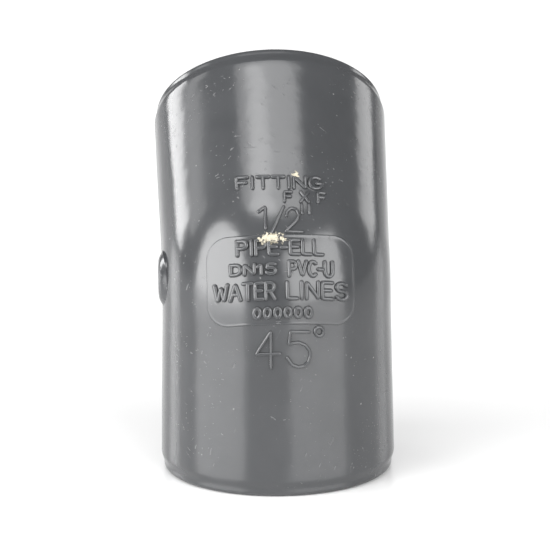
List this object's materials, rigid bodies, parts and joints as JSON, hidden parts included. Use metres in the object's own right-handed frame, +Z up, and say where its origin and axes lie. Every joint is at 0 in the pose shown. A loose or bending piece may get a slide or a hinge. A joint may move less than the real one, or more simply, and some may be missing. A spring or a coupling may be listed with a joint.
{
  "type": "pipe elbow",
  "caption": "Rigid plastic pipe elbow that turns 45 degrees, with a tapered female pipe thread in each end and a raised marking plate on its heel.",
  "frame": {"origin": "centre of the lower mouth's face, on which the elbow stands", "axes": "+Z up the lower hub's axis; the upper hub leans 45 degrees towards +Y; the heel of the bend and its marks face -Y; X is the bend's own axis, with the gate boss on -X"},
  "size_m": [0.0327, 0.0465, 0.0576],
  "materials": {
    "pvc_moulding": "glossy as moulded, with fine scuffs and dust",
    "pvc_thread": "satin, as moulded off a threaded core"
  },
  "bodies": {
    "root": {"elbow_body": "pvc_moulding", "lower_thread": "pvc_thread", "upper_thread": "pvc_thread", "marking_plate": "pvc_moulding", "gate_boss": "pvc_moulding", "gate_stub": "pvc_moulding", "size_mark": "pvc_moulding", "angle_mark": "pvc_moulding"}
  },
  "joints": []
}
